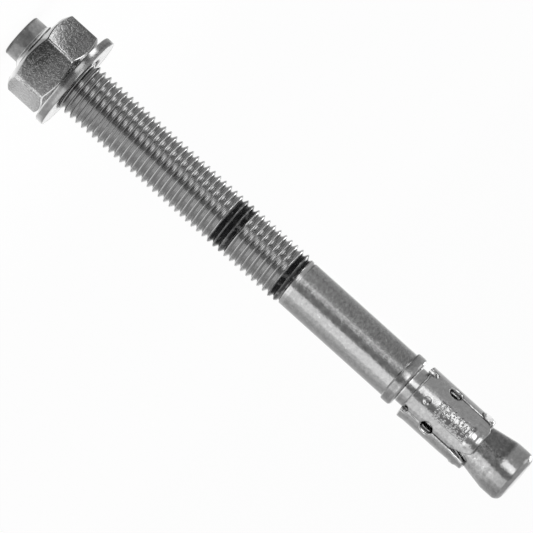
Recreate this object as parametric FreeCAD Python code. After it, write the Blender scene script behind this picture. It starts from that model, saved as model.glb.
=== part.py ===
import FreeCAD, Part
import math
import os

# Anchor bolt: a threaded stud that ends in a cone, a sheet-metal expansion clip
# round the neck below the cone, and a washer and a hexagon nut at the other end.
# All sizes are in millimetres. The bolt stands on its flat tip: the axis is Z, z is the
# height over the tip, and the cone is at the top. An angle about the axis is 0 at the
# front, towards -Y, and grows towards +X.

V = FreeCAD.Vector

# Stud
overall_length = 180.6
tip_length = 4.2
tip_diameter = 12.6
tip_edge_chamfer = 0.6
thread_diameter = 15.8
thread_pitch = 2.0
thread_length = 93.8
thread_chamfer_angle = 50.0      # from the axis' square, at the thread's start
thread_runout_length = 3.6       # where the thread fades into the shank
shank_diameter = 14.45
collar_diameter = 15.9
collar_width = 3.5
collar_shoulder_chamfer = 0.4
collar_edge_radius = 1.1
neck_diameter = 11.55
cone_diameter = 15.95
cone_half_angle = 10.4
cone_land_length = 3.75
cone_blend_radius = 9.0
cone_edge_radius = 2.2

# Expansion clip, rolled from one strip
sheet_thickness = 1.95
clip_length = 22.8
clip_overlap = 4.6               # how far the clip's mouth laps over the cone
clip_play = 2.8                  # from the collar to the clip's lower edge
neck_clearance = 0.3
cone_clearance = 0.12
clip_edge_chamfer = 0.3
left_segment_drop = 0.95         # the strip was rolled a little askew
left_seam_angle = -56.0
right_seam_angle = 47.0
open_seam_angle = 178.0
open_seam_width = 2.6
slit_width = 0.4
relief_hole_diameter = 3.8
relief_hole_height = 8.8         # from the clip's lower edge
notch_width = 2.4
notch_depth = 2.0
fold_groove_width = 0.7
fold_groove_depth = 0.5
right_mouth_depth = 5.9
right_mouth_widths = (2.9, 1.3)  # cut from the segment before the seam and from the one after
left_mouth_depth = 2.3
left_mouth_widths = (0.6, 1.9)
bead_height = 0.4
bead_edge_width = 0.5

# Nut and washer
nut_across_flats = 23.8
nut_height = 12.3
nut_distance = 5.8               # from the tip to the nut's outer face
nut_corner_angle = -17.7
nut_chamfer_angle = 30.0
nut_face_diameter = 22.6
nut_thread_clearance = 0.06
nut_countersink_depth = 0.9
washer_diameter = 29.3
washer_bore = 17.3
washer_thickness = 2.55
washer_edge_chamfer = 0.3

thread_start = tip_length
thread_end = thread_start + thread_length
land_start = overall_length - cone_edge_radius - cone_land_length
cone_slope = math.tan(math.radians(cone_half_angle))
cone_start = land_start - (cone_diameter - neck_diameter) / 2 / cone_slope
clip_end = cone_start + clip_overlap
clip_start = clip_end - clip_length
clip_bore_radius = neck_diameter / 2 + neck_clearance
clip_outer_radius = clip_bore_radius + sheet_thickness
collar_end = clip_start - clip_play
collar_start = collar_end - collar_width
nut_end = nut_distance + nut_height
washer_end = nut_end + washer_thickness
beyond = 5.0                     # how far a cutter runs past what it cuts

# Raised beads of the clip: angle, depth below the mouth, height and width
beads = [
    (0.0, 2.6, 2.3, 4.8),
    (84.0, 3.0, 2.2, 4.8),
    (-75.0, 2.6 + left_segment_drop, 4.4, 4.4),
]


def rounded_outline(corners):
    """A closed wire through (radius from the axis, z, rounding) corners, in the XZ plane."""
    points = [V(r, 0, z) for r, z, rounding in corners]
    runs = []
    for i, corner in enumerate(points):
        rounding = corners[i][2]
        back = (points[i - 1] - corner).normalize()
        ahead = (points[(i + 1) % len(points)] - corner).normalize()
        if rounding == 0:
            runs.append((corner, None, corner))
            continue
        half = back.getAngle(ahead) / 2
        inward = (back + ahead).normalize()
        reach = rounding / math.tan(half)
        middle = corner + inward * (rounding / math.sin(half) - rounding)
        runs.append((corner + back * reach, middle, corner + ahead * reach))
    edges = []
    for i, (first, middle, last) in enumerate(runs):
        if middle is not None:
            edges.append(Part.Arc(first, middle, last).toShape())
        following = runs[(i + 1) % len(runs)][0]
        if last.distanceToPoint(following) > 1e-6:
            edges.append(Part.makeLine(last, following))
    return Part.Wire(edges)


def turned(corners, start_angle=0.0, sweep=360.0):
    """A solid of revolution about the Z axis, from start_angle through sweep degrees."""
    face = about_axis(Part.Face(rounded_outline(corners)), start_angle - 90)
    return face.revolve(V(0, 0, 0), V(0, 0, 1), sweep)


def about_axis(shape, angle):
    """The shape turned about the Z axis."""
    copy = shape.copy()
    copy.rotate(V(0, 0, 0), V(0, 0, 1), angle)
    return copy


def radial_prism(outline, angle, from_radius=0.0):
    """A prism that points away from the axis at one angle; its outline holds (across, z)."""
    points = [V(across, -from_radius, z) for across, z in outline]
    face = Part.Face(Part.makePolygon(points + points[:1]))
    return about_axis(face.extrude(V(0, from_radius - clip_outer_radius - beyond, 0)), angle)


def radial_rod(diameter, z, angle):
    """A round rod that points away from the axis at one angle."""
    rod = Part.makeCylinder(diameter / 2, clip_outer_radius + beyond, V(0, 0, z), V(0, -1, 0))
    return about_axis(rod, angle)


def make_stud():
    tip, major = tip_diameter / 2, thread_diameter / 2
    shank, collar = shank_diameter / 2, collar_diameter / 2
    neck, cone = neck_diameter / 2, cone_diameter / 2
    chamfer_slope = math.tan(math.radians(thread_chamfer_angle))
    return turned([
        (0, 0, 0),
        (tip - tip_edge_chamfer, 0, 0),
        (tip, tip_edge_chamfer, 0),
        (tip, thread_start, 0),
        (major, thread_start + (major - tip) / chamfer_slope, 0),
        (major, thread_end, 0),
        (shank, thread_end + thread_runout_length, 0),
        (shank, collar_start, 0),
        (collar - collar_shoulder_chamfer, collar_start, 0),
        (collar, collar_start + collar_shoulder_chamfer, 0),
        (collar, collar_end, collar_edge_radius),
        (neck, collar_end, 0),
        (neck, cone_start, 0),
        (cone, land_start, cone_blend_radius),
        (cone, overall_length, cone_edge_radius),
        (0, overall_length, 0),
    ])


def clip_segment(start_angle, end_angle, drop):
    """One third of the clip: its bore opens with the cone's own slope at the mouth."""
    seat_start = cone_start + (neck_clearance - cone_clearance) / cone_slope
    first, last = clip_start - drop, clip_end - drop
    mouth_radius = clip_bore_radius + (last - seat_start) * cone_slope
    return turned([
        (clip_bore_radius, first, 0),
        (clip_outer_radius - clip_edge_chamfer, first, 0),
        (clip_outer_radius, first + clip_edge_chamfer, 0),
        (clip_outer_radius, last - clip_edge_chamfer, 0),
        (clip_outer_radius - clip_edge_chamfer, last, 0),
        (mouth_radius, last, 0),
        (clip_bore_radius, seat_start, 0),
    ], start_angle, end_angle - start_angle)


def slot(width, first, last, angle, from_radius=0.0):
    """A straight radial slot of one width between two heights."""
    half = width / 2
    corners = [(-half, first), (half, first), (half, last), (-half, last)]
    return radial_prism(corners, angle, from_radius)


def seam_cutters(angle, mouth_depth, mouth_widths):
    """The notch, fold groove, relief hole, slit and widened mouth of one seam."""
    hole_z = clip_start + relief_hole_height
    notch_z = clip_start + notch_depth - notch_width / 2
    groove_floor = clip_outer_radius - fold_groove_depth
    before, after = mouth_widths
    shoulder_z = clip_end - mouth_depth / 3
    mouth = radial_prism([
        (0, clip_end - mouth_depth), (after * 0.6, shoulder_z), (after, clip_end),
        (after, clip_end + beyond), (-before, clip_end + beyond), (-before, clip_end),
        (-before * 0.6, shoulder_z),
    ], angle)
    return [
        slot(notch_width, clip_start - beyond, notch_z, angle),
        radial_rod(notch_width, notch_z, angle),
        slot(fold_groove_width, notch_z, hole_z, angle, groove_floor),
        radial_rod(relief_hole_diameter, hole_z, angle),
        slot(slit_width, hole_z, clip_end + beyond, angle),
        mouth,
    ]


def bead(angle, depth, height, width):
    """A raised pad with sloping edges, pressed out of the clip's wall."""
    def oval(shrink):
        ring = Part.Ellipse(V(0, 0, 0), width / 2 - shrink, height / 2 - shrink).toShape()
        return Part.Wire(ring)
    foot, crown = oval(0.0), oval(bead_edge_width)
    crown.translate(V(0, 0, bead_height + bead_height))
    pad = Part.makeLoft([foot, crown], True)
    pad.rotate(V(0, 0, 0), V(1, 0, 0), 90)
    pad.translate(V(0, bead_height - clip_outer_radius, clip_end - depth))
    return about_axis(pad, angle)


def make_clip():
    segments = [
        clip_segment(left_seam_angle, right_seam_angle, 0.0),
        clip_segment(right_seam_angle, open_seam_angle, 0.0),
        clip_segment(open_seam_angle - 360.0, left_seam_angle, left_segment_drop),
    ]
    clip = segments[0].fuse(segments[1:])
    cutters = [slot(open_seam_width, clip_start - beyond, clip_end + beyond, open_seam_angle)]
    cutters += seam_cutters(right_seam_angle, right_mouth_depth, right_mouth_widths)
    cutters += seam_cutters(left_seam_angle, left_mouth_depth, left_mouth_widths)
    raised = [bead(*sizes) for sizes in beads]
    return one_solid(clip.cut(cutters).fuse(raised).removeSplitter())


def make_nut():
    flat, face = nut_across_flats / 2, nut_face_diameter / 2
    corner = flat / math.cos(math.radians(30))
    drop = (corner - face) * math.tan(math.radians(nut_chamfer_angle))
    angles = [math.radians(nut_corner_angle + 60 * i) for i in range(6)]
    points = [V(corner * math.sin(a), -corner * math.cos(a), nut_distance) for a in angles]
    hexagon = Part.Face(Part.makePolygon(points + points[:1])).extrude(V(0, 0, nut_height))
    envelope = turned([
        (0, nut_distance, 0), (face, nut_distance, 0), (corner, nut_distance + drop, 0),
        (corner, nut_end - drop, 0), (face, nut_end, 0), (0, nut_end, 0),
    ])
    bore = thread_diameter / 2 + nut_thread_clearance
    wide = bore + nut_countersink_depth
    hole = turned([
        (0, nut_distance - beyond, 0), (wide, nut_distance - beyond, 0), (wide, nut_distance, 0),
        (bore, nut_distance + nut_countersink_depth, 0), (bore, nut_end - nut_countersink_depth, 0),
        (wide, nut_end, 0), (wide, nut_end + beyond, 0), (0, nut_end + beyond, 0),
    ])
    return one_solid(hexagon.common(envelope).cut(hole))


def make_washer():
    inner, outer = washer_bore / 2, washer_diameter / 2
    return turned([
        (inner, nut_end, 0),
        (outer - washer_edge_chamfer, nut_end, 0),
        (outer, nut_end + washer_edge_chamfer, 0),
        (outer, washer_end - washer_edge_chamfer, 0),
        (outer - washer_edge_chamfer, washer_end, 0),
        (inner, washer_end, 0),
    ])


def one_solid(shape):
    """The only solid of a shape."""
    assert len(shape.Solids) == 1, len(shape.Solids)
    return shape.Solids[0]


pieces = {
    "anchor_stud": make_stud(),
    "expansion_clip": make_clip(),
    "hex_nut": make_nut(),
    "washer": make_washer(),
}

os.makedirs("parts", exist_ok=True)
for name, shape in pieces.items():
    shape.exportStep(f"parts/{name}.step")
    print(name, "valid", shape.isValid(), "volume", round(shape.Volume, 2))
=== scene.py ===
import bpy
import bmesh
import math
from mathutils import Matrix, Vector
from types import SimpleNamespace


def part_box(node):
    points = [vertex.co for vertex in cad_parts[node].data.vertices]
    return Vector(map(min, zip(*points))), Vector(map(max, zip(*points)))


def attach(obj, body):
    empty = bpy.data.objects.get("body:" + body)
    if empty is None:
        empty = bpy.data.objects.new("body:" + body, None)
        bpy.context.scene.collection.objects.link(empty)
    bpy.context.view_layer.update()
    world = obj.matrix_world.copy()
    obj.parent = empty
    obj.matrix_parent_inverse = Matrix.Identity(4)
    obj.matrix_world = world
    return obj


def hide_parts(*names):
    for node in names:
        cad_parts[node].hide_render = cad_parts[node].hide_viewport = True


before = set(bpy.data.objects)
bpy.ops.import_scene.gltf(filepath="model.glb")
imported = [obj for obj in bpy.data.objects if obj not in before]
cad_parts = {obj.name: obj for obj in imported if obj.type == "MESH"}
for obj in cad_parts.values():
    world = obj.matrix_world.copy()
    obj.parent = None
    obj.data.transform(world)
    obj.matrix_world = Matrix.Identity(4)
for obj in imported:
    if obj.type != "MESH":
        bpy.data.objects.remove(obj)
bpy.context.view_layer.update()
_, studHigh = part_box("anchor_stud")
_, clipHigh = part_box("expansion_clip")
nutLow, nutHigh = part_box("hex_nut")
washerLow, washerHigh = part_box("washer")
mm = 0.001
tiny = 1e-7  # points nearer than this are taken as one
around = 96  # divisions of every round piece


# Helpers for meshes

def pointOn(radius, angle, z):
    # the angle about the bolt's axis is in degrees, 0 to the front and growing towards +X
    a = math.radians(angle)
    return Vector((radius * math.sin(a), -radius * math.cos(a), z))


def smoothStep(low, high, value):
    t = min(1.0, max(0.0, (value - low) / (high - low)))
    return t * t * (3 - 2 * t)


def softened(corners, steps=4):
    # every corner is (radius from the axis, z, rounding); rounded ones become short arcs
    points = []
    for i, (r, z, rounding) in enumerate(corners):
        here = Vector((r, z))
        if rounding == 0:
            points.append((r, z))
            continue
        back = (Vector(corners[i - 1][:2]) - here).normalized()
        ahead = (Vector(corners[(i + 1) % len(corners)][:2]) - here).normalized()
        half = back.angle(ahead) / 2
        reach = rounding / math.tan(half)
        centre = here + (back + ahead).normalized() * (rounding / math.sin(half))
        first = here + back * reach - centre
        turn = math.pi - 2 * half
        side = 1 if back.cross(ahead) < 0 else -1
        for s in range(steps + 1):
            arm = first.copy()
            arm.rotate(Matrix.Rotation(side * turn * s / steps, 2))
            points.append(tuple(centre + arm))
    return points


def meridianMesh(name, meridians, angles, closed=False):
    # meridians[i] holds the (r, z) points at angles[i]; neighbours are joined by quads
    mesh = bpy.data.meshes.new(name)
    verts = []
    for meridian, angle in zip(meridians, angles):
        verts += [pointOn(r, angle, z) for r, z in meridian]
    count = len(meridians[0])
    faces = []
    for i in range(len(meridians) - 1):
        for k in range(count if closed else count - 1):
            a, b = i * count + k, i * count + (k + 1) % count
            faces.append((a, a + count, b + count, b))
    mesh.from_pydata(verts, [], faces)
    return mesh


def finishMesh(mesh, sharpAngle):
    bm = bmesh.new()
    bm.from_mesh(mesh)
    bmesh.ops.remove_doubles(bm, verts=bm.verts, dist=tiny)
    bmesh.ops.dissolve_degenerate(bm, dist=tiny, edges=bm.edges)
    bmesh.ops.recalc_face_normals(bm, faces=bm.faces)
    bm.to_mesh(mesh)
    bm.free()
    mesh.shade_smooth()
    mesh.set_sharp_from_angle(angle=math.radians(sharpAngle))


def addPiece(name, mesh, body, node, material):
    piece = bpy.data.objects.new(name, mesh)
    bpy.context.scene.collection.objects.link(piece)
    mesh.materials.append(material)
    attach(piece, body)
    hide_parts(node)
    print("piece", name, len(mesh.polygons), "faces")


# Shader groups

def nodeGroup(name, inputs, outputs):
    group = bpy.data.node_groups.new(name, "ShaderNodeTree")
    for label, value in inputs:
        socket = group.interface.new_socket(label, in_out="INPUT", socket_type="NodeSocketFloat")
        socket.default_value = value
    for label, kind in outputs:
        group.interface.new_socket(label, in_out="OUTPUT", socket_type=kind)
    return group, group.nodes.new("NodeGroupInput"), group.nodes.new("NodeGroupOutput")


def noiseNode(tree, vector, scale, detail, rough=0.55, distortion=0.0):
    node = tree.nodes.new("ShaderNodeTexNoise")
    node.inputs["Detail"].default_value = detail
    node.inputs["Roughness"].default_value = rough
    node.inputs["Distortion"].default_value = distortion
    if isinstance(scale, (int, float)):
        node.inputs["Scale"].default_value = scale
    else:
        tree.links.new(scale, node.inputs["Scale"])
    tree.links.new(vector, node.inputs["Vector"])
    return node.outputs["Fac"]


def mathNode(tree, operation, *values, clamp=False):
    node = tree.nodes.new("ShaderNodeMath")
    node.operation = operation
    node.use_clamp = clamp
    for i, value in enumerate(values):
        if isinstance(value, (int, float)):
            node.inputs[i].default_value = value
        else:
            tree.links.new(value, node.inputs[i])
    return node.outputs[0]


def rangeNode(tree, value, low, high, toLow=0.0, toHigh=1.0):
    node = tree.nodes.new("ShaderNodeMapRange")
    node.interpolation_type = "SMOOTHSTEP"
    for label, number in (("From Min", low), ("From Max", high), ("To Min", toLow), ("To Max", toHigh)):
        node.inputs[label].default_value = number
    tree.links.new(value, node.inputs["Value"])
    return node.outputs["Result"]


def scaledColour(tree, colour, scale):
    scaled = tree.nodes.new("ShaderNodeVectorMath")
    scaled.operation = "SCALE"
    tree.links.new(colour, scaled.inputs[0])
    tree.links.new(scale, scaled.inputs["Scale"])
    return scaled.outputs["Vector"]


def axisDistance(tree, place):
    # how far a point is from the bolt's axis
    flat = tree.nodes.new("ShaderNodeVectorMath")
    flat.operation = "MULTIPLY"
    flat.inputs[1].default_value = (1, 1, 0)
    tree.links.new(place, flat.inputs[0])
    radius = tree.nodes.new("ShaderNodeVectorMath")
    radius.operation = "LENGTH"
    tree.links.new(flat.outputs["Vector"], radius.inputs[0])
    return radius.outputs["Value"]


def between(tree, value, low, high, soft):
    # 1 between two levels, and fading to 0 over a soft width at each
    rise = rangeNode(tree, value, low - soft, low + soft)
    fall = rangeNode(tree, value, high + soft, high - soft)
    return mathNode(tree, "MULTIPLY", rise, fall)


# The zinc skin: cloudy grey patches, small pale flecks and a slightly lumpy surface

zincSkin = {
    # scales are per metre
    "patchScale": 900.0,
    "lumpScale": 950.0,
    "grainScale": 2600.0,
    "grainShare": 0.25,
    "fleckScale": 900.0,
    "fleckEdge": (0.32, 0.12),     # distances from its middle, in cells, where a fleck starts and is full
    "fleckPatches": (0.48, 0.62),  # flecks lie in the pale patches
    "roughnessSpread": 0.22,
    "dullRoughness": 0.3,
}


def makeZincGroup():
    group, given, out = nodeGroup(
        "zincSkin",
        [("Patch", 0.5), ("Flecks", 0.5), ("Patchiness", 1.0), ("DullnessAndPaintedShade", 0.0)],
        [("Shade", "NodeSocketFloat"), ("Roughness", "NodeSocketFloat"), ("Height", "NodeSocketFloat")],
    )
    coords = group.nodes.new("ShaderNodeTexCoord").outputs["Object"]
    patches = noiseNode(group, coords, zincSkin["patchScale"], 4.0, 0.6)
    lumps = noiseNode(group, coords, zincSkin["lumpScale"], 3.0, 0.5)
    grain = noiseNode(group, coords, zincSkin["grainScale"], 2.0, 0.5)
    cells = group.nodes.new("ShaderNodeTexVoronoi")
    cells.inputs["Scale"].default_value = zincSkin["fleckScale"]
    group.links.new(coords, cells.inputs["Vector"])
    fleck = rangeNode(group, cells.outputs["Distance"], *zincSkin["fleckEdge"])
    fleck = mathNode(group, "MULTIPLY", fleck, rangeNode(group, patches, *zincSkin["fleckPatches"]))
    cloudy = mathNode(group, "SUBTRACT", patches, 0.5)
    cloudy = mathNode(group, "MULTIPLY", cloudy, given.outputs["Patch"])
    marks = mathNode(group, "MULTIPLY_ADD", fleck, given.outputs["Flecks"], cloudy)
    shade = mathNode(group, "MULTIPLY_ADD", marks, given.outputs["Patchiness"], 1.0)
    # this input roughens the skin and also darkens its colour, a painted shade
    level = mathNode(group, "SUBTRACT", 1.0, given.outputs["DullnessAndPaintedShade"])
    group.links.new(mathNode(group, "MULTIPLY", shade, level), out.inputs["Shade"])
    spread = zincSkin["roughnessSpread"]
    rough = mathNode(group, "MULTIPLY_ADD", patches, spread, -spread / 2)
    rough = mathNode(group, "MULTIPLY_ADD", given.outputs["DullnessAndPaintedShade"], zincSkin["dullRoughness"], rough)
    group.links.new(rough, out.inputs["Roughness"])
    height = mathNode(group, "MULTIPLY_ADD", grain, zincSkin["grainShare"], lumps)
    group.links.new(height, out.inputs["Height"])
    return group


# Short strokes that cross one another on upright faces

crossingStrokes = {
    "scale": 2000.0,               # per metre
    "sets": [(35, 0.0), (-40, 0.3), (80, 0.7)],    # turn in degrees, and where in the noise each set lies
    "lean": 0.3,                   # each set also leans forward, by this share of its turn
    "stretch": 8.0,
    "edge": (0.55, 0.66),
    "slopeFade": (0.3, 0.05),      # they fade out on faces that slope more than this
}


def makeStrokeGroup():
    group, given, out = nodeGroup(
        "crossingStrokes",
        [("Scale", crossingStrokes["scale"])],
        [("Mask", "NodeSocketFloat")],
    )
    coords = group.nodes.new("ShaderNodeTexCoord")
    total = 0.0
    for turn, shift in crossingStrokes["sets"]:
        place = group.nodes.new("ShaderNodeMapping")
        place.vector_type = "TEXTURE"
        lean = math.radians(turn * crossingStrokes["lean"])
        place.inputs["Rotation"].default_value = (lean, math.radians(turn), 0)
        place.inputs["Location"].default_value = (shift, shift, shift)
        place.inputs["Scale"].default_value = (1.0, 1.0, crossingStrokes["stretch"])
        group.links.new(coords.outputs["Object"], place.inputs["Vector"])
        strokes = noiseNode(group, place.outputs["Vector"], given.outputs["Scale"], 1.5, 0.5, 0.6)
        total = mathNode(group, "MAXIMUM", total, rangeNode(group, strokes, *crossingStrokes["edge"]))
    facing = group.nodes.new("ShaderNodeSeparateXYZ")
    group.links.new(coords.outputs["Normal"], facing.inputs["Vector"])
    slope = mathNode(group, "ABSOLUTE", facing.outputs["Z"])
    upright = rangeNode(group, slope, *crossingStrokes["slopeFade"])
    group.links.new(mathNode(group, "MULTIPLY", total, upright), out.inputs["Mask"])
    return group


# The plated steel that all four pieces share

def steelMaterial(name, piece):
    material = bpy.data.materials.new(name)
    material.use_nodes = True
    tree = material.node_tree
    shader = tree.nodes["Principled BSDF"]
    shader.inputs["Metallic"].default_value = 1.0
    skin = tree.nodes.new("ShaderNodeGroup")
    skin.node_tree = zincGroup
    skin.inputs["Patch"].default_value = piece["patch"]
    skin.inputs["Flecks"].default_value = piece["flecks"]
    shade = skin.outputs["Shade"]
    height = skin.outputs["Height"]
    if "strokes" in piece:
        marks = tree.nodes.new("ShaderNodeGroup")
        marks.node_tree = strokeGroup
        shade = mathNode(tree, "MULTIPLY_ADD", marks.outputs["Mask"], piece["strokes"], shade)
        height = mathNode(tree, "MULTIPLY_ADD", marks.outputs["Mask"], piece["strokeRelief"], height)
    colour = tree.nodes.new("ShaderNodeVectorMath")
    colour.operation = "SCALE"
    colour.inputs[0].default_value = piece["base"]
    tree.links.new(shade, colour.inputs["Scale"])
    tree.links.new(colour.outputs["Vector"], shader.inputs["Base Color"])
    roughness = mathNode(tree, "ADD", skin.outputs["Roughness"], piece["roughness"], clamp=True)
    tree.links.new(roughness, shader.inputs["Roughness"])
    relief = tree.nodes.new("ShaderNodeBump")
    relief.inputs["Strength"].default_value = 1.0
    relief.inputs["Distance"].default_value = piece["bump"]
    tree.links.new(height, relief.inputs["Height"])
    tree.links.new(relief.outputs["Normal"], shader.inputs["Normal"])
    return SimpleNamespace(
        material=material, tree=tree, shader=shader,
        skin=skin, relief=relief, colour=colour.outputs["Vector"],
    )


# The stud: smooth tip, rolled thread, shank, collar, neck and cone

stud = {
    "tipRadius": 6.3 * mm,
    "tipEdge": 0.6 * mm,
    "threadStart": 4.2 * mm,
    "threadEnd": 101.6 * mm,
    "threadFade": 3.8 * mm,        # over this length the last turns grow shallow
    "crestFadeEnd": 0.6 * mm,
    "rootFade": (1.0 * mm, 0.1 * mm),   # the groove fills up between these distances from the end
    "pitch": 2.0 * mm,
    "crestRadius": 7.9 * mm,
    "rootRadius": 6.65 * mm,
    "profileSteps": 12,
    "crestSharpness": 0.15,        # 0 rolls the thread to a plain wave, 1 to straight flanks
    "threadPhase": 0.715 * mm,     # height of a crest at the front
    "chamferSlope": math.tan(math.radians(50)),
    "shankRadius": 7.225 * mm,
    "collarStart": 138.16 * mm,
    "collarEnd": 141.66 * mm,
    "collarRadius": 7.95 * mm,
    "collarFoot": 0.15 * mm,
    "collarShoulder": 0.5 * mm,
    "collarEdge": 1.1 * mm,
    "neckRadius": 5.775 * mm,
    "neckFoot": 0.2 * mm,
    "coneStart": 162.66 * mm,
    "coneFoot": 1.5 * mm,
    "landStart": 174.65 * mm,
    "coneRadius": 7.975 * mm,
    "coneBlend": 9.0 * mm,
    "coneEdge": 2.2 * mm,
    "roundSteps": 8,
    "sharpAngle": 50,
    "base": (0.26, 0.26, 0.26),
    "roughness": 0.2,
    "patch": 0.8,
    "flecks": 0.3,
    "bump": 0.04 * mm,
    # stretches of the stud, each the same all round, with their own painted light or shade, patchiness or
    # bump; each end is a named height and a shift from it
    "zones": {
        "thread": {"from": ("threadStart", 0.5 * mm), "to": ("threadEnd", -0.9 * mm), "soft": 0.4 * mm},
        "runOut": {"from": ("threadEnd", -0.7 * mm), "to": ("threadEnd", 0.1 * mm), "soft": 0.4 * mm},
        "shoulder": {"from": ("collarEnd", -1.4 * mm), "to": ("collarEnd", 0.4 * mm), "soft": 0.5 * mm},
        "edge": {"from": ("collarEnd", -0.3 * mm), "to": ("collarEnd", 0.2 * mm), "soft": 0.15 * mm},
        "neck": {"from": ("collarEnd", 3.9 * mm), "to": ("coneStart", 3.0 * mm), "soft": 0.5 * mm},
        "cone": {"from": ("coneStart", 4.0 * mm), "to": ("landStart", 0.0), "soft": 1.0 * mm},
    },
    "tipFade": (0.1 * mm, -0.3 * mm),   # from the thread's start
    "headFade": (3.0 * mm, 5.0 * mm),   # from the cone's start
    "crestFade": (0.35 * mm, 0.1 * mm),  # below the crest
    # painted light: how much brighter each stretch is painted beside the plain shank (the thread, the neck
    # and the cone's head lit up, and painted highlights on the run-out, the collar's shoulder and its
    # edge); and how patchy they are
    "paintedLightByZone": {"thread": 1.5, "neck": 2.4, "runOut": 1.3, "shoulder": 1.3, "edge": 2.4, "head": 1.12},
    "patchiness": {"thread": 0.1, "cone": 1.6, "tip": 1.6},
    # painted shade that dims the bright lines along the crests
    "crestPaintedShade": 0.8,
    "threadBump": 0.1,
    # the tip is a little rougher, and painted darker: a painted shade
    "tipDullnessAndPaintedShade": 0.5,
    "inkBands": [(75.4 * mm, 80.6 * mm), (97.2 * mm, 100.2 * mm)],
    "inkColour": (0.012, 0.012, 0.013),
    "inkWobble": 0.8 * mm,
    "inkWobbleScale": 700.0,
    "inkSoftness": 0.25 * mm,
    "inkWearScale": 500.0,
    "inkWear": (0.3, 0.45, 0.6, 1.0),   # noise from and to, share of ink from and to
    "inkMetallic": 0.25,
    "crestInk": 0.8,
}


def studZone(tree, z, name):
    zone = stud["zones"][name]
    lowMark, lowShift = zone["from"]
    highMark, highShift = zone["to"]
    return between(tree, z, stud[lowMark] + lowShift, stud[highMark] + highShift, zone["soft"])


def studMasks(tree, place, z):
    masks = {name: studZone(tree, z, name) for name in stud["zones"]}
    tipFrom, tipFull = stud["tipFade"]
    masks["tip"] = rangeNode(tree, z, stud["threadStart"] + tipFrom, stud["threadStart"] + tipFull)
    headFrom, headFull = stud["headFade"]
    masks["head"] = rangeNode(tree, z, stud["coneStart"] + headFrom, stud["coneStart"] + headFull)
    below, full = (stud["crestRadius"] - depth for depth in stud["crestFade"])
    masks["crest"] = rangeNode(tree, axisDistance(tree, place), below, full)
    return masks


def studInk(tree, place, z, crest):
    # two bands of black ink round the thread, with uneven edges, and less of it on the crests
    wobble = noiseNode(tree, place, stud["inkWobbleScale"], 3.0)
    level = mathNode(tree, "MULTIPLY_ADD", wobble, stud["inkWobble"], z)
    ink = 0.0
    for low, high in stud["inkBands"]:
        ink = mathNode(tree, "MAXIMUM", ink, between(tree, level, low, high, stud["inkSoftness"]))
    rubbed = mathNode(tree, "MULTIPLY_ADD", crest, stud["crestInk"] - 1, 1.0)
    worn = rangeNode(tree, noiseNode(tree, place, stud["inkWearScale"], 3.0, 0.5), *stud["inkWear"])
    return mathNode(tree, "MULTIPLY", mathNode(tree, "MULTIPLY", ink, rubbed), worn)


def makeStudMaterial():
    steel = steelMaterial("studZinc", stud)
    tree = steel.tree
    place = tree.nodes.new("ShaderNodeTexCoord").outputs["Object"]
    split = tree.nodes.new("ShaderNodeSeparateXYZ")
    tree.links.new(place, split.inputs["Vector"])
    z = split.outputs["Z"]
    masks = studMasks(tree, place, z)
    patchiness = 1.0
    for name, share in stud["patchiness"].items():
        patchiness = mathNode(tree, "MULTIPLY_ADD", masks[name], share - 1, patchiness)
    tree.links.new(patchiness, steel.skin.inputs["Patchiness"])
    smooth = mathNode(tree, "MULTIPLY_ADD", masks["thread"], stud["threadBump"] - 1, 1.0)
    height = mathNode(tree, "MULTIPLY", smooth, steel.skin.outputs["Height"])
    tree.links.new(height, steel.relief.inputs["Height"])
    tipDullAndShaded = mathNode(tree, "MULTIPLY", masks["tip"], stud["tipDullnessAndPaintedShade"])
    tree.links.new(tipDullAndShaded, steel.skin.inputs["DullnessAndPaintedShade"])
    # painted light and shade along the stud, stretch by stretch, and painted shade on the crests
    lift = 1.0
    for name, shade in stud["paintedLightByZone"].items():
        lift = mathNode(tree, "MULTIPLY_ADD", masks[name], shade - 1, lift)
    crestShadeFactor = mathNode(tree, "MULTIPLY_ADD", masks["crest"], stud["crestPaintedShade"] - 1, 1.0)
    lift = mathNode(tree, "MULTIPLY", lift, crestShadeFactor)
    ink = studInk(tree, place, z, masks["crest"])
    mix = tree.nodes.new("ShaderNodeMix")
    mix.data_type = "RGBA"
    mix.inputs["B"].default_value = (*stud["inkColour"], 1)
    tree.links.new(ink, mix.inputs["Factor"])
    tree.links.new(scaledColour(tree, steel.colour, lift), mix.inputs["A"])
    tree.links.new(mix.outputs["Result"], steel.shader.inputs["Base Color"])
    metallic = mathNode(tree, "MULTIPLY_ADD", ink, stud["inkMetallic"] - 1, 1.0)
    tree.links.new(metallic, steel.shader.inputs["Metallic"])
    return steel.material


def threadProfile():
    # (height within one turn, share of the thread's depth) from crest to crest
    profile = []
    for i in range(stud["profileSteps"]):
        u = i / stud["profileSteps"]
        wave = 0.5 + 0.5 * math.cos(2 * math.pi * u)
        flanks = abs(1 - 2 * u)
        profile.append((u * stud["pitch"], wave + (flanks - wave) * stud["crestSharpness"]))
    return profile


def threadMeridian(share):
    # share of a turn round from the front; the ends are cut back by the two chamfers
    start, end, pitch = stud["threadStart"], stud["threadEnd"], stud["pitch"]
    low, depth = stud["rootRadius"], stud["crestRadius"] - stud["rootRadius"]
    first = math.floor((start - stud["threadPhase"]) / pitch) - 1
    turns = math.ceil((end - start) / pitch) + 3
    points = []
    for turn in range(turns):
        base = stud["threadPhase"] + (first + turn + share) * pitch
        for up, part in threadProfile():
            z = min(end, max(start, base + up))
            r = low + depth * part
            r = min(r, stud["tipRadius"] + (z - start) * stud["chamferSlope"])
            crestFade = smoothStep(end - stud["threadFade"], end - stud["crestFadeEnd"], z)
            fillFrom, fillTo = stud["rootFade"]
            rootFade = smoothStep(end - fillFrom, end - fillTo, z)
            fade = crestFade if r > stud["shankRadius"] else rootFade
            r += (stud["shankRadius"] - r) * fade
            points.append((r, z))
    return points


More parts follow.
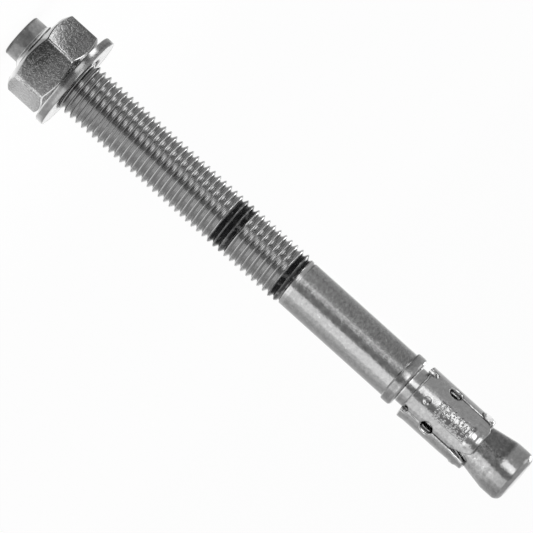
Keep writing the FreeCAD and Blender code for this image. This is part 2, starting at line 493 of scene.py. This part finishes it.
def makeStud():
    top = studHigh.z
    below = softened([
        (0.0, 0.0, 0), (stud["tipRadius"], 0.0, stud["tipEdge"]),
        (stud["tipRadius"], stud["threadStart"], 0),
    ])
    above = softened([
        (stud["shankRadius"], stud["threadEnd"], 0),
        (stud["shankRadius"], stud["collarStart"], stud["collarFoot"]),
        (stud["collarRadius"], stud["collarStart"], stud["collarShoulder"]),
        (stud["collarRadius"], stud["collarEnd"], stud["collarEdge"]),
        (stud["neckRadius"], stud["collarEnd"], stud["neckFoot"]),
        (stud["neckRadius"], stud["coneStart"], stud["coneFoot"]),
        (stud["coneRadius"], stud["landStart"], stud["coneBlend"]),
        (stud["coneRadius"], top, stud["coneEdge"]),
        (0.0, top, 0),
    ], stud["roundSteps"])
    angles = [360 * i / around for i in range(around + 1)]
    meridians = [below + threadMeridian(i / around) + above for i in range(around + 1)]
    mesh = meridianMesh("anchorStud", meridians, angles)
    finishMesh(mesh, stud["sharpAngle"])
    addPiece("anchorStud", mesh, "stud", "anchor_stud", makeStudMaterial())


# The nut: a hexagon chamfered at both ends, with rounded edges

nut = {
    "acrossFlats": 23.8 * mm,
    "cornerAngle": -17.7,
    "cornerRounding": 1.4 * mm,
    "cornerSteps": (-3.2, -2.2, -1.1, 0.0, 1.1, 2.2, 3.2),   # degrees from the corner
    "faceSteps": 10,
    "faceRadius": 10.95 * mm,
    "chamferSlope": math.tan(math.radians(30)),
    "edgeRounding": 0.5 * mm,
    "boreRadius": 7.96 * mm,
    "countersink": 0.9 * mm,
    "countersinkEdge": 0.1 * mm,
    "offCentre": 0.15 * mm,        # in the photo it sits a little to the right
    "sharpAngle": 60,
    "base": (0.155, 0.155, 0.155),
    "roughness": 0.17,
    "patch": 0.4,
    "flecks": 0.1,
    "bump": 0.02 * mm,
    "strokes": 0.6,
    "strokeRelief": 0.5,
    "chamferFade": (0.12, 0.4),    # upward part of the face's normal
    # painted highlights on the chamfers that face down and up, and on the corners
    "lowChamferHighlight": 1.6,
    "highChamferHighlight": 3.6,
    "cornerFade": (0.22 * mm, 0.04 * mm),
    "cornerHighlight": 1.8,
}


def makeNutMaterial():
    steel = steelMaterial("nutZinc", nut)
    tree = steel.tree
    coords = tree.nodes.new("ShaderNodeTexCoord")
    facing = tree.nodes.new("ShaderNodeSeparateXYZ")
    tree.links.new(coords.outputs["Normal"], facing.inputs["Vector"])
    z = facing.outputs["Z"]
    # painted highlights: corners and chamfers are painted brighter than the flats
    corner = hexRadius(0.0)
    before, full = (corner - depth for depth in nut["cornerFade"])
    edge = rangeNode(tree, axisDistance(tree, coords.outputs["Object"]), before, full)
    slight, steep = nut["chamferFade"]
    low = rangeNode(tree, z, -slight, -steep, 1.0, nut["lowChamferHighlight"])
    high = rangeNode(tree, z, slight, steep, 1.0, nut["highChamferHighlight"])
    lift = mathNode(tree, "MAXIMUM", low, high)
    cornerHighlightFactor = mathNode(tree, "MULTIPLY_ADD", edge, nut["cornerHighlight"] - 1, 1.0)
    lift = mathNode(tree, "MAXIMUM", lift, cornerHighlightFactor)
    tree.links.new(scaledColour(tree, steel.colour, lift), steel.shader.inputs["Base Color"])
    return steel.material


def hexRadius(fromCorner):
    # distance of the rounded hexagon from the axis, at an angle from its nearest corner
    flat, rounding = nut["acrossFlats"] / 2, nut["cornerRounding"]
    corner = flat / math.cos(math.radians(30))
    centre = corner - rounding / math.sin(math.radians(60))
    touch = math.degrees(math.atan2(rounding * 0.5, centre + rounding * math.cos(math.radians(30))))
    b = math.radians(fromCorner)
    if abs(fromCorner) < touch:
        return centre * math.cos(b) + math.sqrt(rounding ** 2 - (centre * math.sin(b)) ** 2)
    return flat / math.cos(math.radians(30 - abs(fromCorner)))


def makeNut():
    angles = []
    reach = nut["cornerSteps"][-1]
    for side in range(6):
        corner = nut["cornerAngle"] + 60 * side
        angles += [corner + b for b in nut["cornerSteps"]]
        faceStep = (60 - 2 * reach) / nut["faceSteps"]
        angles += [corner + reach + faceStep * i for i in range(1, nut["faceSteps"])]
    angles.append(angles[0] + 360)
    face, bore = nut["faceRadius"], nut["boreRadius"]
    wide = bore + nut["countersink"]
    rounding, soft = nut["edgeRounding"], nut["countersinkEdge"]
    low, high = nutLow.z, nutHigh.z
    meridians = []
    for angle in angles:
        fromCorner = (angle - nut["cornerAngle"] + 30) % 60 - 30
        side = hexRadius(fromCorner)
        drop = (side - face) * nut["chamferSlope"]
        meridians.append(softened([
            (bore, low + nut["countersink"], 0), (wide, low, soft), (face, low, rounding),
            (side, low + drop, rounding), (side, high - drop, rounding), (face, high, rounding),
            (wide, high, soft), (bore, high - nut["countersink"], 0),
        ]))
    mesh = meridianMesh("hexNut", meridians, angles, closed=True)
    mesh.transform(Matrix.Translation((nut["offCentre"], 0, 0)))
    finishMesh(mesh, nut["sharpAngle"])
    addPiece("hexNut", mesh, "nut", "hex_nut", makeNutMaterial())


# The washer: a plain ring, two of its edges softer than the other two

washer = {
    "boreRadius": 8.65 * mm,
    "softEdge": 0.5 * mm,
    "crispEdge": 0.2 * mm,
    "offCentre": -0.4 * mm,        # in the photo it sits a little to the left
    "sharpAngle": 60,
    "base": (0.3, 0.3, 0.3),
    "roughness": 0.15,
    "patch": 0.6,
    "flecks": 0.1,
    "bump": 0.015 * mm,
    "rimFade": (0.6, 0.2),         # upward part of the face's normal, here and below
    "rimDullnessAndPaintedShade": 0.15,
    "faceFade": (0.6, 0.9),
    # painted shade: the upper face is painted darker
    "topPaintedShade": 0.78,
    "undersidePaintedLight": 2.4,             # painted light: the underside is painted lighter, so that the nut's upper chamfer, which mirrors it, looks pale
}


def makeWasherMaterial():
    steel = steelMaterial("washerZinc", washer)
    tree = steel.tree
    facing = tree.nodes.new("ShaderNodeSeparateXYZ")
    tree.links.new(tree.nodes.new("ShaderNodeTexCoord").outputs["Normal"], facing.inputs["Vector"])
    z = facing.outputs["Z"]
    # the rim is a little rougher than the faces, and painted darker: a painted shade
    rim = rangeNode(tree, mathNode(tree, "ABSOLUTE", z), *washer["rimFade"], 0.0, washer["rimDullnessAndPaintedShade"])
    tree.links.new(rim, steel.skin.inputs["DullnessAndPaintedShade"])
    slanted, level = washer["faceFade"]
    # painted light on the underside and painted shade on the upper face
    under = rangeNode(tree, z, -slanted, -level, 1.0, washer["undersidePaintedLight"])
    top = rangeNode(tree, z, slanted, level, 1.0, washer["topPaintedShade"])
    lift = mathNode(tree, "MULTIPLY", under, top)
    tree.links.new(scaledColour(tree, steel.colour, lift), steel.shader.inputs["Base Color"])
    return steel.material


def makeWasher():
    outer, inner = washerHigh.x, washer["boreRadius"]
    low, high = washerLow.z, washerHigh.z
    ring = softened([
        (inner, low, washer["crispEdge"]), (outer, low, washer["softEdge"]),
        (outer, high, washer["crispEdge"]), (inner, high, washer["softEdge"]),
    ])
    angles = [360 * i / around for i in range(around + 1)]
    mesh = meridianMesh("washer", [ring] * len(angles), angles, closed=True)
    mesh.transform(Matrix.Translation((washer["offCentre"], 0, 0)))
    finishMesh(mesh, washer["sharpAngle"])
    addPiece("plainWasher", mesh, "washer", "washer", makeWasherMaterial())


# The expansion clip: one strip of sheet, cut out flat and then rolled round the neck

clip = {
    "length": 22.8 * mm,
    "boreRadius": 6.075 * mm,
    "outerRadius": 8.025 * mm,
    "flatThickness": 1.0 * mm,     # once rolled, the sheet fills the room between its two radii
    "seatStart": 163.64 * mm,      # above this the bore opens with the cone
    "coneSlope": math.tan(math.radians(10.4)),
    "leftSeam": -56.0,
    "rightSeam": 47.0,
    "openSeam": 178.0,
    "openWidth": 2.6 * mm,
    "slitWidth": 0.35 * mm,
    "holeDiameter": 3.8 * mm,
    "holeHeight": 8.8 * mm,
    "holeSteps": 28,
    "notchWidth": 2.4 * mm,
    "notchDepth": 2.0 * mm,
    "notchSteps": 10,
    "cornerRounding": 0.8 * mm,
    "cornerSteps": 4,
    "leftMouth": (2.3 * mm, 0.6 * mm, 1.9 * mm),    # depth, cut before the seam, cut after it
    "rightMouth": (5.9 * mm, 2.9 * mm, 1.3 * mm),
    "mouthShoulder": (0.62, 1 / 3),       # shares of the cut and of the depth
    "mouthLip": (0.4 * mm, 0.35 * mm),    # across and down
    "edgeRounding": 0.42 * mm,
    "edgeSteps": 3,
    "cell": 0.36 * mm,             # size of the grid that the flat sheet is divided by
    "sharpAngle": 45,
    # both ends of the left third sit lower
    "drop": 0.95 * mm,
    "dropEdge": 0.3 * mm,
    "dropFoot": (2.6 * mm, 0.4 * mm),     # from the lower end
    "dropTop": (8.0 * mm, 1.0 * mm),      # from the upper end
    # the right third stands off the neck a little more, and its lower edge flares
    "bulge": 0.35 * mm,
    "bulgeStart": 2.5 * mm,        # from the right seam
    "bulgeFoot": (-1.0 * mm, 3.0 * mm),
    "bulgeTop": (-2.0 * mm, 8.0 * mm),    # from the upper end
    "flare": 0.45 * mm,
    "flareHeight": 3.0 * mm,
    "flareStart": (2.0 * mm, 5.0 * mm),   # from the right seam
    "flareEnd": (11.0 * mm, 6.0 * mm),
    # a crease follows each seam up to its relief hole
    "creaseDepth": 0.3 * mm,
    "creaseWidth": 0.45 * mm,
    "creaseEnd": 1.0 * mm,
    # pressed beads: how square they are, where they rise, and through how much of the sheet
    "beadSquareness": 3,
    "beadSlope": (1.15, 0.55),
    "beadShare": (0.3, 1.0),
    # where the masks of painted light and shade lie, by share of the thickness and then by share of a
    # bead's rise
    "cutEdgeHighlight": (0.6, 0.8, 0.93, 0.999),
    "cutWallLight": (0.75, 0.55),
    "pad": (0.15, 0.5),            # from here on by a bead's rise
    "padFoot": (0.0, 0.04, 0.15, 0.25),
    # painted light and shade: how much brighter than the rest of the clip, as painted highlights on the
    # cut edges and beads, painted light on the cut walls, and painted shade at a bead's foot
    "paintedLight": {"cutEdgeHighlight": 0.5, "cutWallLight": 0.6, "pad": 1.0, "padFoot": -0.9},
    # depths of the field and the punch mark are in units of the skin's bump
    "field": {
        "from": 152.3 * mm,
        "to": 163.4 * mm,
        "endFade": 0.4 * mm,
        "across": -0.2 * mm,
        "halfWidth": 2.6 * mm,
        "sideFade": 0.3 * mm,
        "front": (0.0, -4.0 * mm),
        "dentsPerMetre": 1100.0,
        "dentEdge": (0.15, 0.55),
        "depth": 4.0,
    },
    "punch": {"angle": 1.0, "height": 148.8 * mm, "radius": 1.3 * mm, "floor": 0.35, "depth": 7.0},
    "base": (0.27, 0.27, 0.27),
    "roughness": 0.16,
    "patch": 0.8,
    "flecks": 0.15,
    "bump": 0.04 * mm,
}
# depth is measured from the clip's upper end
# the last two numbers of each bead are its painted highlight and the painted shade at its foot
beads = [
    {"angle": -1.0, "depth": 2.9 * mm, "height": 3.0 * mm, "width": 6.4 * mm,
     "lift": 0.45 * mm, "paintedLight": 0.25, "foot": 0.0},
    {"angle": 84.0, "depth": 3.0 * mm, "height": 2.2 * mm, "width": 4.8 * mm,
     "lift": 0.3 * mm, "paintedLight": 0.3, "foot": 0.0},
    {"angle": -75.0, "depth": 2.6 * mm, "height": 4.4 * mm, "width": 4.6 * mm,
     "lift": 0.4 * mm, "paintedLight": 2.2, "foot": 1.0},
]


def makeClipMaterial():
    steel = steelMaterial("clipZinc", clip)
    tree = steel.tree
    place = tree.nodes.new("ShaderNodeTexCoord").outputs["Object"]
    split = tree.nodes.new("ShaderNodeSeparateXYZ")
    tree.links.new(place, split.inputs["Vector"])
    # a dented field across the front, and one round punch mark below it
    field = clip["field"]
    aside = mathNode(tree, "ABSOLUTE", mathNode(tree, "SUBTRACT", split.outputs["X"], field["across"]))
    half, soft = field["halfWidth"], field["sideFade"]
    inField = between(tree, split.outputs["Z"], field["from"], field["to"], field["endFade"])
    inField = mathNode(tree, "MULTIPLY", inField, rangeNode(tree, aside, half + soft, half - soft))
    inField = mathNode(tree, "MULTIPLY", inField, rangeNode(tree, split.outputs["Y"], *field["front"]))
    cells = tree.nodes.new("ShaderNodeTexVoronoi")
    cells.inputs["Scale"].default_value = field["dentsPerMetre"]
    tree.links.new(place, cells.inputs["Vector"])
    dent = rangeNode(tree, cells.outputs["Distance"], *field["dentEdge"])
    dent = mathNode(tree, "MULTIPLY", dent, inField)
    punch = clip["punch"]
    away = tree.nodes.new("ShaderNodeVectorMath")
    away.operation = "DISTANCE"
    tree.links.new(place, away.inputs[0])
    away.inputs[1].default_value = pointOn(clip["outerRadius"], punch["angle"], punch["height"])
    rim = punch["radius"]
    bowl = rangeNode(tree, away.outputs["Value"], rim, rim * punch["floor"], 0.0, punch["depth"])
    height = mathNode(tree, "MULTIPLY_ADD", dent, field["depth"], steel.skin.outputs["Height"])
    height = mathNode(tree, "SUBTRACT", height, bowl)
    tree.links.new(height, steel.relief.inputs["Height"])
    # painted highlights on the cut edges and beads, painted light on the cut walls, and painted shade
    # darkening the foot of one bead
    paintedBrightness = 1.0
    for label, extra in clip["paintedLight"].items():
        mask = tree.nodes.new("ShaderNodeAttribute")
        mask.attribute_name = label
        paintedBrightness = mathNode(tree, "MULTIPLY_ADD", mask.outputs["Fac"], extra, paintedBrightness)
    tree.links.new(scaledColour(tree, steel.colour, paintedBrightness), steel.shader.inputs["Base Color"])
    return steel.material


def alongSheet(angle):
    # an angle round the bolt as a length along the flat sheet
    return math.radians(angle) * clip["outerRadius"]


def arcPoints(centre, radius, start, end, steps):
    x, z = centre
    turns = [math.radians(start + (end - start) * i / steps) for i in range(steps + 1)]
    return [(x + radius * math.cos(a), z + radius * math.sin(a)) for a in turns]


def notchOutline(x):
    half = clip["notchWidth"] / 2
    floor = clip["notchDepth"] - half
    arc = arcPoints((x, floor), half, 180, 0, clip["notchSteps"])
    return [(x - half, 0.0)] + arc + [(x + half, 0.0)]


def slitOutline(x, mouth):
    # from the mouth down one side of the slit, round the relief hole, and up the other side
    depth, before, after = mouth
    top, half = clip["length"], clip["slitWidth"] / 2
    narrow, shallow = clip["mouthShoulder"]
    lipAcross, lipDown = clip["mouthLip"]
    down = [
        (x + after + lipAcross, top),
        (x + after, top - lipDown),
        (x + after * narrow, top - depth * shallow),
        (x + half, top - depth),
    ]
    radius = clip["holeDiameter"] / 2
    gap = math.degrees(math.asin(half / radius))
    hole = arcPoints((x, clip["holeHeight"]), radius, 90 - gap, -270 + gap, clip["holeSteps"])
    up = [
        (x - half, top - depth),
        (x - before * narrow, top - depth * shallow),
        (x - before, top - lipDown),
        (x - before - lipAcross, top),
    ]
    return down + hole + up


def makeFlatSheet():
    gap = clip["openWidth"] / 2
    left = alongSheet(clip["openSeam"] - 360) + gap
    right = alongSheet(clip["openSeam"]) - gap
    seams = [(alongSheet(clip[side + "Seam"]), clip[side + "Mouth"]) for side in ("left", "right")]
    top, corner, steps = clip["length"], clip["cornerRounding"], clip["cornerSteps"]
    outline = arcPoints((left + corner, corner), corner, 180, 270, steps)
    for x, mouth in seams:
        outline += notchOutline(x)
    outline += arcPoints((right - corner, corner), corner, -90, 0, steps)
    outline += arcPoints((right - corner, top - corner), corner, 0, 90, steps)
    for x, mouth in reversed(seams):
        outline += slitOutline(x, mouth)
    outline += arcPoints((left + corner, top - corner), corner, 90, 180, steps)
    bm = bmesh.new()
    floor = bm.faces.new([bm.verts.new((x, z, 0.0)) for x, z in outline])
    raised = bmesh.ops.extrude_face_region(bm, geom=[floor])["geom"]
    lifted = [v for v in raised if isinstance(v, bmesh.types.BMVert)]
    bmesh.ops.translate(bm, verts=lifted, vec=(0, 0, clip["flatThickness"]))
    bmesh.ops.recalc_face_normals(bm, faces=bm.faces)
    rim = [e for e in bm.edges if abs(e.verts[0].co.z - e.verts[1].co.z) < tiny]
    bmesh.ops.bevel(bm, geom=rim, offset=clip["edgeRounding"], segments=clip["edgeSteps"], profile=0.5,
                    affect="EDGES", clamp_overlap=True)
    bmesh.ops.triangulate(bm, faces=[f for f in bm.faces if len(f.verts) > 4])
    # a grid of cuts, so that the sheet can be rolled smoothly
    for axis, low, high in ((0, left, right), (1, 0.0, top)):
        cuts = int((high - low) / clip["cell"])
        for i in range(1, cuts):
            at, normal = Vector(), Vector()
            at[axis] = low + (high - low) * i / cuts
            normal[axis] = 1.0
            geom = bm.verts[:] + bm.edges[:] + bm.faces[:]
            bmesh.ops.bisect_plane(bm, geom=geom, plane_co=at, plane_no=normal, dist=tiny)
    return bm


def band(value, low, lowFull, highFull, high):
    return smoothStep(low, lowFull, value) * smoothStep(high, highFull, value)


def beadRise(x, z, bead):
    # 0 outside the bead, 1 on it
    power = clip["beadSquareness"]
    across = abs(x - alongSheet(bead["angle"])) / (bead["width"] / 2)
    up = abs(z - (clip["length"] - bead["depth"])) / (bead["height"] / 2)
    return smoothStep(*clip["beadSlope"], (across ** power + up ** power) ** (1 / power))


def clipDrop(x, z):
    past = x - alongSheet(clip["leftSeam"])
    ends = smoothStep(*clip["dropFoot"], z) + smoothStep(*clip["dropTop"], clip["length"] - z)
    return clip["drop"] * ends * smoothStep(clip["dropEdge"], -clip["dropEdge"], past)


def clipSwell(x, z):
    past = x - alongSheet(clip["rightSeam"])
    bulge = smoothStep(0.0, clip["bulgeStart"], past) * smoothStep(*clip["bulgeFoot"], z)
    bulge *= smoothStep(*clip["bulgeTop"], clip["length"] - z)
    flare = smoothStep(*clip["flareStart"], past) * smoothStep(*clip["flareEnd"], past)
    flare *= smoothStep(clip["flareHeight"], 0.0, z)
    return clip["bulge"] * bulge + clip["flare"] * flare


def clipCrease(x, z):
    crease = 0.0
    for seam in ("leftSeam", "rightSeam"):
        crease += smoothStep(clip["creaseWidth"], 0.0, abs(x - alongSheet(clip[seam])))
    hole = clip["holeHeight"]
    return clip["creaseDepth"] * crease * smoothStep(hole + clip["creaseEnd"], hole, z)


def makeClip():
    bm = makeFlatSheet()
    start = clipHigh.z - clip["length"]
    layers = {label: bm.verts.layers.float.new(label) for label in clip["paintedLight"]}
    for vert in bm.verts:
        x, z, depth = vert.co
        share = depth / clip["flatThickness"]
        rises = [(bead, beadRise(x, z, bead)) for bead in beads]
        # masks of painted light and shade, kept on the vertices
        vert[layers["cutEdgeHighlight"]] = band(share, *clip["cutEdgeHighlight"])
        vert[layers["cutWallLight"]] = smoothStep(*clip["cutWallLight"], share)
        vert[layers["pad"]] = sum(bead["paintedLight"] * smoothStep(*clip["pad"], rise) for bead, rise in rises)
        vert[layers["padFoot"]] = sum(bead["foot"] * band(rise, *clip["padFoot"]) for bead, rise in rises)
        height = start + z - clipDrop(x, z)
        inner = clip["boreRadius"] + max(0.0, (height - clip["seatStart"]) * clip["coneSlope"])
        radius = inner + (clip["outerRadius"] - inner) * share
        radius += sum(bead["lift"] * rise for bead, rise in rises) * smoothStep(*clip["beadShare"], share)
        radius += clipSwell(x, z) - clipCrease(x, z) * share
        vert.co = pointOn(radius, math.degrees(x / clip["outerRadius"]), height)
    mesh = bpy.data.meshes.new("expansionClip")
    bm.to_mesh(mesh)
    bm.free()
    finishMesh(mesh, clip["sharpAngle"])
    addPiece("expansionClip", mesh, "clip", "expansion_clip", makeClipMaterial())


# Studio: pale floor and world, lamps, and cards that only the metal reflects

studio = {
    "floorSize": 14.0,
    "floorColour": (0.9, 0.9, 0.9, 1),
    "floorRoughness": 0.9,
    "floorWhite": 0.92,            # share of plain white in what the camera and the metal see
    "worldStrength": 0.8,
    "cardSteps": 12,
}
# angle round the bolt, distance from it, height of the middle, and how bright the lamp's face is
lamps = [
    {"name": "keySoftbox", "angle": 48.0, "distance": 0.55, "height": 0.33,
     "size": (0.43, 0.66), "glow": 0.98},
    {"name": "keyEdge", "angle": 80.0, "distance": 0.55, "height": 0.33,
     "size": (0.2, 0.66), "glow": 0.3},
    {"name": "stripLow", "angle": -27.0, "distance": 0.6, "height": 0.05,
     "size": (0.07, 0.09), "glow": 1.0},
    {"name": "stripHigh", "angle": -18.5, "distance": 0.6, "height": 0.38,
     "size": (0.27, 0.55), "glow": 3.0},
    {"name": "backLeft", "angle": -103.0, "distance": 0.5, "height": 0.5,
     "size": (0.3, 0.26), "glow": 1.2},
    {"name": "backStrip", "angle": -150.0, "distance": 0.5, "height": 0.36,
     "size": (0.2, 0.16), "glow": 5.0},
]
onFloor = 0.5 * mm
# angles round the bolt, and how bright the card's face is; a card lies flat from one distance
# to another, or follows a path of (distance, height)
cards = [
    {"name": "frontFlag", "angles": (-12, 25), "path": [(0.4, 0.002), (0.4, 0.114)], "glow": 0.45},
    {"name": "frontFlagHigh", "angles": (-2, 25), "path": [(0.4, 0.114), (0.4, 0.75), (0.08, 0.8)],
     "glow": 0.45},
    {"name": "frontFoot", "angles": (-16, 25), "flat": (0.012, 0.2), "glow": 0.2},
    {"name": "stripFoot", "angles": (-40, -16), "flat": (0.08, 0.29), "glow": 2.6},
    {"name": "frontFarFoot", "angles": (-16, 25), "flat": (0.33, 0.4), "glow": 0.15},
    {"name": "stripFarFoot", "angles": (-40, -16), "flat": (0.29, 0.6), "glow": 0.2},
    {"name": "tipFoot", "angles": (-62, -16), "flat": (0.024, 0.05), "glow": 0.2},
    {"name": "tipNearFoot", "angles": (-75, -16), "flat": (0.012, 0.024), "glow": 0.2},
    {"name": "flareGlow", "angles": (-130, -30), "flat": (0.0066, 0.012), "glow": 1.9},
    {"name": "chamferGlow", "angles": (-150, -75), "flat": (0.012, 0.026), "glow": 1.2},
    {"name": "sideNearFoot", "angles": (-62, -40), "flat": (0.05, 0.9), "glow": 0.3},
    {"name": "flankGlow", "angles": (-84, -62), "flat": (0.026, 0.225), "glow": 4.6},
    {"name": "backLeftFoot", "angles": (-180, -84), "flat": (0.026, 0.25), "glow": 0.6},
    {"name": "rimFoot", "angles": (-84, -62), "flat": (0.225, 0.25), "glow": 0.3},
    {"name": "farLeftFoot", "angles": (-150, -62), "flat": (0.25, 0.9), "glow": 0.3},
    {"name": "endLeftFoot", "angles": (-150, -20), "flat": (0.9, 1.5), "glow": 0.5},
    {"name": "shankLeftFoot", "angles": (-150, -20), "flat": (1.5, 2.25), "glow": 1.15},
    {"name": "shankStrip", "angles": (-47, -24), "flat": (1.55, 2.2), "height": 2 * onFloor, "glow": 2.9},
    {"name": "beadGlow", "angles": (-165, -128), "flat": (2.3, 2.75), "height": 2 * onFloor, "glow": 1.25},
    {"name": "clipLeftFoot", "angles": (-150, -20), "flat": (2.25, 3.0), "glow": 0.8},
    {"name": "keyFootNear", "angles": (30, 130), "flat": (0.007, 0.075), "glow": 2.0},
    {"name": "headFoot", "angles": (25, 70), "flat": (2.7, 3.1), "glow": 1.6},
    {"name": "keyFoot", "angles": (25, 70), "flat": (0.28, 1.2), "glow": 1.85},
    {"name": "edgeFoot", "angles": (70, 100), "flat": (0.28, 1.2), "glow": 1.3},
    {"name": "backRightFoot", "angles": (122, 168), "flat": (0.08, 0.4), "glow": 1.5},
    {"name": "backCard", "angles": (160, 200), "path": [(2.0, 0.07), (2.0, 0.5)], "glow": 1.3},
]


def makeLamp(lamp):
    data = bpy.data.lights.new(lamp["name"], "AREA")
    data.shape = "RECTANGLE"
    data.size, data.size_y = lamp["size"]
    data.energy = lamp["glow"] * math.pi * data.size * data.size_y
    light = bpy.data.objects.new(lamp["name"], data)
    bpy.context.scene.collection.objects.link(light)
    light.location = pointOn(lamp["distance"], lamp["angle"], lamp["height"])
    # it faces the bolt's axis at its own height
    light.rotation_mode = "QUATERNION"
    ahead = Vector((0, 0, lamp["height"])) - light.location
    light.rotation_quaternion = ahead.to_track_quat("-Z", "Y")
    light.visible_camera = False


def cardPath(card):
    if "path" in card:
        return card["path"]
    height = card.get("height", onFloor)
    return [(distance, height) for distance in card["flat"]]


def makeCard(card):
    first, last = card["angles"]
    steps = studio["cardSteps"]
    angles = [first + (last - first) * i / steps for i in range(steps + 1)]
    mesh = meridianMesh(card["name"], [cardPath(card)] * len(angles), angles)
    material = bpy.data.materials.new(card["name"])
    material.use_nodes = True
    tree = material.node_tree
    face = tree.nodes.new("ShaderNodeEmission")
    face.inputs["Strength"].default_value = card["glow"]
    tree.links.new(face.outputs["Emission"], tree.nodes["Material Output"].inputs["Surface"])
    mesh.materials.append(material)
    obj = bpy.data.objects.new(card["name"], mesh)
    bpy.context.scene.collection.objects.link(obj)
    obj.visible_camera = False
    obj.visible_shadow = False
    obj.visible_diffuse = False


def makeFloor():
    half = studio["floorSize"] / 2
    corners = [(-half, -half, 0), (half, -half, 0), (half, half, 0), (-half, half, 0)]
    mesh = bpy.data.meshes.new("floor")
    mesh.from_pydata(corners, [], [(0, 1, 2, 3)])
    floor = bpy.data.objects.new("floor", mesh)
    bpy.context.scene.collection.objects.link(floor)
    material = bpy.data.materials.new("paleFloor")
    material.use_nodes = True
    tree = material.node_tree
    shader = tree.nodes["Principled BSDF"]
    shader.inputs["Base Color"].default_value = studio["floorColour"]
    shader.inputs["Roughness"].default_value = studio["floorRoughness"]
    # for the camera and for reflections it is mostly plain white
    rays = tree.nodes.new("ShaderNodeLightPath")
    seen = mathNode(tree, "MAXIMUM", rays.outputs["Is Camera Ray"], rays.outputs["Is Glossy Ray"])
    seen = mathNode(tree, "MULTIPLY", seen, studio["floorWhite"])
    white = tree.nodes.new("ShaderNodeEmission")
    mix = tree.nodes.new("ShaderNodeMixShader")
    tree.links.new(seen, mix.inputs["Fac"])
    tree.links.new(shader.outputs["BSDF"], mix.inputs[1])
    tree.links.new(white.outputs["Emission"], mix.inputs[2])
    tree.links.new(mix.outputs["Shader"], tree.nodes["Material Output"].inputs["Surface"])
    mesh.materials.append(material)


def makeWorld():
    world = bpy.data.worlds.new("studio")
    bpy.context.scene.world = world
    world.use_nodes = True
    background = world.node_tree.nodes["Background"]
    background.inputs["Color"].default_value = (1, 1, 1, 1)
    background.inputs["Strength"].default_value = studio["worldStrength"]


# Camera: in front of the bolt, a little above level, and rolled so that the bolt crosses the picture

camera = {
    "elevation": 3.6,
    "tipToConeAngle": -41.98,      # direction of the bolt's axis in the picture
    "lens": 1000.0,
    "sensorWidth": 36.0,
    "frameWidth": 144.1 * mm,
    "aimHeight": 91.73 * mm,
    "aimAcross": 2.18 * mm,
}


def makeCamera():
    data = bpy.data.cameras.new("camera")
    data.lens = camera["lens"]
    data.sensor_width = camera["sensorWidth"]
    obj = bpy.data.objects.new("camera", data)
    bpy.context.scene.collection.objects.link(obj)
    bpy.context.scene.camera = obj
    rise = math.radians(camera["elevation"])
    back = Vector((0, -math.cos(rise), math.sin(rise)))
    upright = Vector((0, math.sin(rise), math.cos(rise)))
    across = Vector((1, 0, 0))
    turn = math.radians(camera["tipToConeAngle"])
    right = upright * math.cos(turn) + across * math.sin(turn)
    up = back.cross(right)
    distance = camera["frameWidth"] / 2 / math.tan(data.angle / 2)
    target = across * camera["aimAcross"] + Vector((0, 0, camera["aimHeight"]))
    obj.matrix_world = Matrix((
        (right.x, up.x, back.x, 0), (right.y, up.y, back.y, 0), (right.z, up.z, back.z, 0), (0, 0, 0, 1),
    ))
    obj.location = target + back * distance


bpy.context.scene.view_settings.view_transform = "Standard"
zincGroup = makeZincGroup()
strokeGroup = makeStrokeGroup()
makeCamera()
makeWorld()
makeFloor()
for card in cards:
    makeCard(card)
for lamp in lamps:
    makeLamp(lamp)
print("studio ready")
makeStud()
makeClip()
makeNut()
makeWasher()
print("pieces ready")
